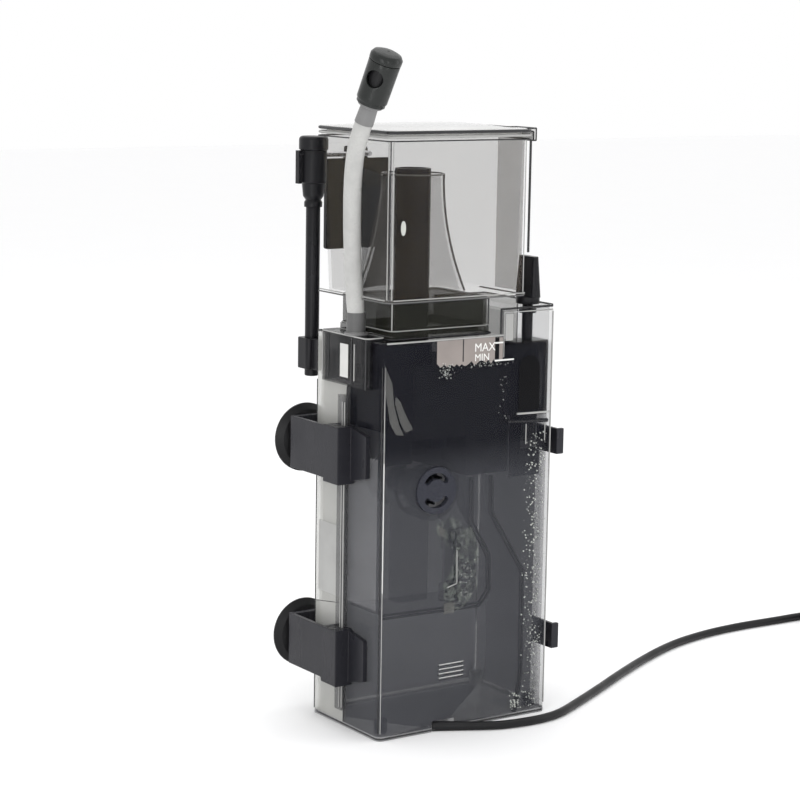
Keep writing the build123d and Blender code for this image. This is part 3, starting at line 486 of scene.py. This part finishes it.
# Where a layer's two turns swap rows and where the lead climbs to the next layer, in turns
swing_start, swing_span = 0.92, 0.16
climb_start, climb_span = 1.92, 0.08


def ramp(value, start, span):
    """0 up to start, then rising to 1 over the span."""
    return min(1.0, max(0.0, (value - start) / span))


def coil_at(turn):
    """A point of the coil after so many turns: three layers of two turns each."""
    layer = int(min(turn, coil_turns - 0.001) // 2)
    part = turn - 2 * layer
    swing = ramp(part, swing_start, swing_span)
    if layer % 2:
        swing = 1.0 - swing
    lift = ramp(part, climb_start, climb_span) if layer < 2 else 0.0
    radius = coil_outer + (coil_inner - coil_outer) * swing
    angle = start_angle - 2 * pi * turn
    return Vector((coil_centre.x + radius * cos(angle), coil_centre.y + radius * sin(angle),
                   cord_d / 2 + cord_d * (layer + lift)))


for step in range(2, coil_turns * turn_points + 1):
    lead_points.append(coil_at(step / turn_points))
lead = flexible("mains_lead", lead_points, cord_d / 2, 4, "cord_jacket")
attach(lead, "casing")
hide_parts("power_cord", "cord_coil")

# ---- Air hose ----
# From the ferrule to the silencer's stub, in millimetres from the same corner
hose_route = [
    (0.5, 32.0, 256.6), (0.5, 32.0, 266.5), (-1.0, 31.5, 277.4), (-2.8, 30.3, 289.3),
    (-5.0, 28.2, 303.3), (-7.6, 25.2, 318.5), (-10.3, 21.4, 333.6), (-13.2, 16.8, 348.6),
    (-15.7, 11.4, 362.9), (-17.2, 6.0, 375.6), (-15.9, 0.9, 387.4),
]
hose_radius = 0.0055
hose_points = [at(left + x, front + y, z) for x, y, z in hose_route]
hose = flexible("air_hose", hose_points, hose_radius, 8, "silicone")
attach(hose, "casing")
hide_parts("air_tube")

# ---- Edge lines: painted shade and painted highlights along the rims of clear walls, which look darker or lighter than the walls ----
case_hi = box_mm("front_casing")[1]
back = box_mm("rear_casing")[1].y
right, top = case_hi.x, case_hi.z
deck = 252.6                # the top of the casing beside the tower
inside = front + 2.2        # the front wall's inner face
beads("front_top_light", "casing", "edge_light", 0.6,
      [(left + 3, front + 0.3, deck), (25.0, front + 0.3, deck)])
lines("casing_top_dark", "casing", "edge_dark", 0.4,
      sharp_edges("rear_casing", lambda p: p.z > deck - 0.5)
      + sharp_edges("front_casing", lambda p: p.z > deck - 0.5 and p.y > front + 2.5))
beads("tower_lines", "casing", "edge_dark", 0.8,
      [(23.5, front + 0.8, deck + 1), (23.5, front + 0.8, top - 0.8),
       (right - 2, front + 0.8, top - 0.6)])
beads("tower_light", "casing", "edge_light", 0.5,
      [(25.5, front + 0.4, deck - 14), (25.5, front + 0.4, top - 3),
       (right - 2, front + 0.4, top - 3)],
      [(right - 1.2, front + 1.2, 6), (right - 1.2, front + 1.2, top - 4)])
# Painted highlights and painted shade down the front wall's rounded left corner.
beads("corner_light", "casing", "edge_light", 0.3,
      [(left + 2.1, front + 0.75, 5), (left + 2.1, front + 0.75, 238)])
beads("corner_glow", "casing", "glow_light", 0.4,
      [(left + 2.1, front + 0.65, 96), (left + 2.1, front + 0.65, 178)])
beads("corner_dark", "casing", "edge_dark", 0.4,
      [(left + 0.8, front + 1.8, 5), (left + 0.8, front + 1.8, 238)])
# A painted shadow round the foot of the casing.
beads("foot_shadow_line", "casing", "edge_dark", 0.7,
      ring(left + 0.4, right - 0.4, front + 0.4, back - 0.4, 4.2, 1.4))
# The seam lines are the real dark joints between the casing's halves.
beads("seam_lines", "casing", "edge_dark", 0.3,
      [(left, 2.2, 3), (left, 2.2, 221)], [(right, 2.2, 3), (right, 2.2, 268)])
# Painted shade down the casing's back corners.
beads("back_corner_lines", "casing", "edge_dark", 0.35,
      [(left + 0.5, back - 0.5, 3), (left + 0.5, back - 0.5, 221)],
      [(right - 0.5, back - 0.5, 3), (right - 0.5, back - 0.5, 268)])
# Painted shade along the front edges of the duct's clear walls.
duct_front = box_mm("duct_wall_inner")[0].y
lines("duct_edges", "casing", "edge_dark", 0.8,
      sharp_edges("duct_wall_inner", lambda p: p.y < duct_front + 0.3)
      + sharp_edges("duct_wall_outer", lambda p: p.y < duct_front + 0.3))

# The cup, its lid and its collar: painted shade and painted highlights along their rims, feet and
# corners
cup_lo, cup_hi = box_mm("cup_body")
loop = (cup_lo.x, cup_hi.x, cup_lo.y, cup_hi.y, 4.0)
rim = (cup_lo.x, cup_hi.x, cup_lo.y, cup_hi.y - 1.2, 4.0)
beads("cup_rim_dark", "lid", "edge_dark", 1.0, ring(*rim, 381.4))
beads("cup_rim_light", "cup", "edge_light", 0.8, ring(*rim, 378.6))
beads("cup_rim_thin", "cup", "edge_dark", 0.42, ring(*loop, 376.2))
cup_foot, wall_foot, cup_top = 279.4, 280, 376     # the cup's foot, and its walls' ends
beads("cup_foot_light", "cup", "edge_light", 0.4,
      [(-61.8, -42.2, cup_foot), (38.0, -42.2, cup_foot)],
      [(-65.8, -38, cup_foot), (-65.8, 36, cup_foot)])
beads("cup_foot_dark", "cup", "edge_grey", 0.5,
      [(-65.3, 38.0, 277.9), (-65.3, -38.0, 277.9), (-61.6, -41.7, 277.9), (37.0, -41.7, 277.9),
       (40.9, -38.0, 277.9), (40.9, 10.0, 277.9)])
beads("cup_corner_light", "cup", "edge_light", 0.35,
      [(-65.55, -40.3, wall_foot), (-65.55, -40.3, cup_top)],
      [(-63.2, -42.1, wall_foot), (-63.2, -42.1, cup_top)],
      [(36.6, -42.1, wall_foot), (36.6, -42.1, cup_top)])
beads("cup_corner_dark", "cup", "edge_dark", 0.4,
      [(-64.8, -41.5, wall_foot), (-64.8, -41.5, cup_top)])
beads("cup_side_dark", "cup", "edge_dark", 0.8, [(40.6, -41.4, 305), (40.6, -41.4, cup_top)])
lines("lid_tab_edges", "lid", "edge_dark", 0.5, sharp_edges("lid", lambda p: p.x > 40.5))
collar = (-54.7, 20.3, -29.7, 29.7, 4.0)
beads("collar_light", "cup", "edge_light", 0.4,
      [(-53.9, -28.9, 259), (-53.9, -28.9, 276)], ring(*collar, 258.6))
beads("collar_dark", "cup", "edge_dark", 0.5, ring(*collar, 275.6),
      [(19.6, -29.0, 259), (19.6, -29.0, 276)])
beads("socket_dark", "casing", "edge_dark", 0.6, ring(-56.2, 21.8, -31.2, 31.2, 4.0, 253.6))

# Painted shade and a painted highlight down the neck's two outlines as the camera sees them,
# which follow its bell; painted shade rings its top
neck_x, neck_foot, neck_top = -20.2, cup_foot, 353.5
foot_r, waist_r, top_r, waist_share = 34.0, 24.8, 19.4, 0.38


def neck_radius(z):
    """A bell through the radii at the neck's foot, waist and top."""
    t = (z - neck_foot) / (neck_top - neck_foot)
    slope = (waist_r - foot_r) / waist_share
    bend = ((top_r - foot_r) - slope) / (1 - waist_share)
    return foot_r + slope * t + bend * t * (t - waist_share)


def neck_outline(turn, steps=12):
    """A route up the bell, just outside it, at this angle round its axis."""
    a = radians(turn)
    route = []
    for i in range(steps + 1):
        z = neck_foot + 0.6 + (neck_top - neck_foot - 0.6) * i / steps
        r = neck_radius(z) + 0.1
        route.append((neck_x + r * cos(a), r * sin(a), z))
    return route


beads("neck_outline_shade", "cup", "edge_brown", 0.7, neck_outline(-33))
beads("neck_outline_highlight", "cup", "edge_light", 0.6, neck_outline(147))
beads("neck_top_ring", "cup", "edge_grey", 0.5,
      [(neck_x + 19.6 * cos(radians(10 * i)), 19.6 * sin(radians(10 * i)), neck_top)
       for i in range(37)])

# ---- Films and marks: darker and lighter stretches of the clear walls, among them painted shade, painted highlights and painted reflections ----
# The marks on the front wall lie in layers, from the wall outwards.
window_y, arch_y, shade_y, glint_y, ink_y = (
    front - 0.06, front - 0.07, front - 0.1, front - 0.12, front - 0.16)
thin = 0.05                 # thickness of the thinnest marks
cup_wall_x = -63.5          # the cup's left wall, inside

pane("rear_mist", "casing", "mist_film", oblong(-62, 62, 5, 240), "y", back - 2.6)
pane("side_mist", "casing", "mist_film", oblong(-25, 36, 5, 240), "x", right - 2.7)
pane("left_sheen", "casing", "film_pale", oblong(-34, 1, 84, 180), "x", left - 0.08)
beads("hose_sleeve", "casing", "sleeve_grey", 6.0,
      [(left + 0.5, front + 32, 257), (left + 0.5, front + 32, 269)])
# A painted reflection of the dark core in the cup's left wall, in a dark and a grey stretch.
pane("cup_left_dark", "cup", "film_dark",
     [(-7.4, 359), (-32.1, 354.9), (-11.2, 297.5), (-9.4, wall_foot)], "x", cup_wall_x)
pane("cup_left_grey", "cup", "film_grey",
     [(-32.1, 354.9), (-39.4, 355.5), (-39.4, wall_foot), (-9.4, wall_foot), (-11.2, 297.5)],
     "x", cup_wall_x)
pane("cup_side_film", "cup", "film_brown", oblong(-37, -9, wall_foot, cup_top), "x", 39.0)
# A painted highlight on the cup's dark core.
pane("core_glint", "cup", "bubble_white",
     [(-55.4 + 1.9 * cos(radians(30 * i)), 323.6 + 4.6 * sin(radians(30 * i)))
      for i in range(12)], "y", -42.28)
window_left, window_right, window_top = -26.2, 18.4, 252.0
ragged = [(window_left, window_top), (window_left, 238.0)]
for i in range(1, 24):
    ragged.append((window_left + i * 1.9, 237.2 + random.uniform(-2.2, 1.2)))
ragged += [(window_right, 236.6), (window_right, window_top)]
pane("water_window", "casing", "window_pale", ragged, "y", window_y, thin)
beads("window_line", "casing", "edge_dark", 0.35,
      [(-6.2, shade_y, 238), (-6.2, shade_y, 252)])
pane("tick_panel", "casing", "black_panel", oblong(18.6, 21.6, 238.2, 251.5), "y", window_y, thin)
pane("gap_pane", "casing", "window_pale", oblong(21.8, 24.6, 237.5, 251.5), "y", window_y, thin)
pane("max_tick", "casing", "ink_white", oblong(18.4, 24.8, 247.7, 248.7), "y", ink_y)
pane("min_tick", "casing", "ink_white", oblong(18.4, 33.4, 236.4, 237.4), "y", ink_y)
pane("tower_pane", "casing", "edge_light", oblong(26.6, 32.4, 249, 266), "y", shade_y, thin)
pane("wedge_outer", "casing", "wedge_pale",
     [(-65.0, 239.4), (-59.4, 228.0), (-57.6, 213.0), (-53.6, 201.0), (-50.0, 194.6),
      (-56.0, 195.6), (-60.6, 203.0), (-64.6, 224.5)], "y", shade_y)
pane("wedge_inner", "casing", "wedge_pale",
     [(-56.6, 219.6), (-53.0, 216.0), (-49.8, 209.0), (-43.4, 198.0), (-49.0, 196.4),
      (-53.0, 203.0), (-57.0, 215.0)], "y", shade_y)
pane("water_dark_left", "casing", "film_navy", oblong(-62, -42.4, 176, 250), "y", inside + 0.02)
pane("water_dark_right", "casing", "film_navy",
     [(33.2, 160), (57.5, 160), (57.5, 178), (42, 178), (42, 236), (33.2, 236)],
     "y", inside + 0.02)
arch = [(38.0, 203.0), (54.7, 203.0), (54.7, 228.0)]
arch += [(46.35 + 8.35 * cos(radians(15 * i)), 230.0 + 8.4 * sin(radians(15 * i)))
         for i in range(1, 12)]
pane("valve_arch", "casing", "black_panel", arch + [(38.0, 228.0)], "y", arch_y, thin)
# Painted highlights and painted shade along the valve's ring and spout.
beads("valve_ring_light", "casing", "edge_light", 0.7,
      [(37.0, front, 201.2), (63.0, front, 200.6)])
beads("valve_ring_dark", "casing", "edge_dark", 1.3,
      [(30.0, inside - 1, 196.5), (62.5, inside - 1, 195.0)])
beads("spout_lines", "casing", "edge_light", 0.35,
      [(44.6, front, 181), (44.6, front, 194)], [(59.8, front, 182), (59.8, front, 194)])
pane("mist_patch", "casing", "mottle",
     [(-25, 136), (-12, 139), (4, 130), (10, 112), (8, 90), (-2, 79), (-17, 76), (-18, 96),
      (-12, 104), (-12, 118), (-23, 128)], "y", shade_y)
pane("mist_block", "casing", "wedge_pale", oblong(-17.2, -9.2, 76.6, 83.6), "y", glint_y)
pane("mist_glint", "casing", "wedge_pale",
     [(-22.4, 134.5), (-17.2, 131.0), (-19.2, 126.8), (-21.8, 129.0)], "y", glint_y, thin)
beads("mist_line", "casing", "edge_light", 0.4,
      [(-8.0, front, 117), (-7.6, front, 95.5), (-15.0, front, 93.6)])
slot_left, slot_right, slot_z, slot_pitch, slot_count = -20.2, -1.2, 34.9, 2.9, 4
beads("slot_lights", "casing", "glow_light", 0.28,
      *[[(slot_left, front + 0.1, slot_z + slot_pitch * i),
         (slot_right, front + 0.1, slot_z + slot_pitch * i)] for i in range(slot_count)])
pane("rear_plate", "casing", "edge_light", oblong(8, 33.5, 84, 130), "x", left - 0.1)
beads("rear_plate_line", "casing", "edge_dark", 0.3,
      [(left + 0.2, 6, 80.5), (left + 0.2, 36, 76.0)])

# A sleeve and a flange where the valve's stem leaves the tower
stem = box_mm("valve_barrel")
stem_x, stem_y = (stem[0].x + stem[1].x) / 2, (stem[0].y + stem[1].y) / 2
for name, radius, low, high in (("stem_sleeve", 3.5, 248.5, 264.5),
                                ("stem_flange", 5.6, 264.6, 267.2)):
    beads(name, "valve", "black_plastic", radius, [(stem_x, stem_y, low), (stem_x, stem_y, high)])

# The port block's clear walls, and the rails: painted highlights and painted shade along their
# edges, and a painted glint on the port block
port_x = box_mm("port_block")[0].x
pane("port_glint", "casing", "glow_light", oblong(-6.5, 2.8, 228, 249), "x", port_x - 0.1)
beads("port_dark", "casing", "edge_dark", 0.7,
      [(port_x, 16.5, 226), (port_x, 16.5, 254)], [(port_x, -10.5, 225), (port_x, -10.5, 254)],
      [(port_x + 0.4, -26.0, 223), (port_x + 0.4, -26.0, 254)])
beads("port_light", "casing", "edge_light", 0.5,
      [(port_x, 23.5, 226), (port_x, 23.5, 254)], [(port_x, -13.5, 227), (port_x, -13.5, 250)],
      ring(port_x + 0.3, -57.0, -26.2, 26.2, 3.0, 254.6))
for side, x in (("left", box_mm("rail_left")[0].x), ("right", box_mm("rail_right")[1].x)):
    beads(f"rail_light_{side}", "casing", "edge_light", 0.5,
          [(x, 0.2, 14), (x, 0.2, 212)], [(x, -2.2, 14), (x, -2.2, 212)])
    beads(f"rail_dark_{side}", "casing", "edge_dark", 0.5, [(x, -1.0, 14), (x, -1.0, 212)])


# ---- Bubbles and drops on the casing's front wall ----
def bubbles(name, spots):
    """Small balls in one piece; each spot is x, y, z and radius in millimetres."""
    form = bmesh.new()
    for x, y, z, r in spots:
        bmesh.ops.create_icosphere(form, subdivisions=1, radius=r * MM,
                                   matrix=Matrix.Translation(at(x, y, z)))
    for face in form.faces:
        face.smooth = True
    data = bpy.data.meshes.new(name)
    form.to_mesh(data)
    form.free()
    data.materials.append(mats["bubble_white"])
    made = link(name, data)
    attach(made, "casing")
    return made


def scatter(count, x0, x1, z0, z1, small, large, y=front + 0.35):
    """Random spots in a stretch of the front wall, denser towards its middle in x."""
    return [(x0 + (x1 - x0) * (random.random() + random.random()) / 2, y,
             random.uniform(z0, z1), random.uniform(small, large)) for _ in range(count)]


bubbles("wall_bubbles", scatter(300, 44, 62.5, 60, 188, 0.28, 0.75)
        + scatter(150, 45, 63, 5, 60, 0.28, 0.7))
bubbles("water_line_bubbles", scatter(70, -26, -10, 228, 238, 0.3, 0.6)
        + scatter(60, -12, 36, 233.5, 237, 0.3, 0.55) + scatter(14, 22, 30, 196, 232, 0.3, 0.55)
        + scatter(60, -8, 8, 84, 110, 0.28, 0.55))
bubbles("corner_drops", scatter(40, 36, 46, 5, 16, 0.4, 0.9))


def mark(name, words, x, z, height):
    """A generic level mark, standing slightly proud of the front wall."""
    data = bpy.data.curves.new(name, "FONT")
    data.body = words
    data.size = height * 1.35 * MM
    data.extrude = 0.00004
    data.materials.append(mats["ink_white"])
    made = link(name, data)
    made.location = at(x, glint_y, z)
    made.rotation_euler = (pi / 2, 0, 0)
    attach(made, "casing")


mark("mark_max", "MAX", 2.4, 243.6, 5.6)
mark("mark_min", "MIN", 2.6, 237.6, 4.8)

# ---- Floor and light ----
floor_mesh = bpy.data.meshes.new("floor")
reach = 6.0                 # half of the floor's width, in metres
floor_mesh.from_pydata(
    [(-reach, -reach, 0), (reach, -reach, 0), (reach, reach, 0), (-reach, reach, 0)],
    [], [(0, 1, 2, 3)])
floor = link("floor", floor_mesh)
floor_tone = Nodes("floor_tone")
floor_mesh.materials.append(floor_tone.set(
    Base_Color=floor_tone.blend(floor_tone.noise(8, 3), (0.97, 0.97, 0.975, 1),
                                (0.985, 0.985, 0.99, 1)),
    Roughness=0.7))

world = bpy.data.worlds.new("studio")
scene.world = world
world.use_nodes = True
backdrop = world.node_tree.nodes["Background"]
backdrop.inputs["Color"].default_value = (1.0, 1.0, 1.0, 1.0)
backdrop.inputs["Strength"].default_value = 1.0
scene.view_settings.view_transform = "Standard"


def lamp(name, place, target, size, power):
    """A soft rectangular light that faces a target and doesn't show itself; m and W."""
    data = bpy.data.lights.new(name, "AREA")
    data.shape = "RECTANGLE"
    data.size, data.size_y = size
    data.energy = power
    made = link(name, data)
    made.location = place
    made.rotation_euler = (Vector(target) - Vector(place)).to_track_quat("-Z", "Y").to_euler()
    made.visible_camera = False


lamp("overhead", (0.1, 0.1, 1.7), (0, 0, 0), (1.8, 1.8), 9)
lamp("strip_left", (-0.62, -0.42, 0.32), (0, 0, 0.2), (0.10, 0.6), 0.9)
lamp("strip_front", (-0.30, -0.95, 0.35), (0, 0, 0.2), (0.06, 0.6), 0.8)
lamp("strip_right", (0.75, -0.55, 0.4), (0, 0, 0.2), (0.15, 0.7), 0.9)
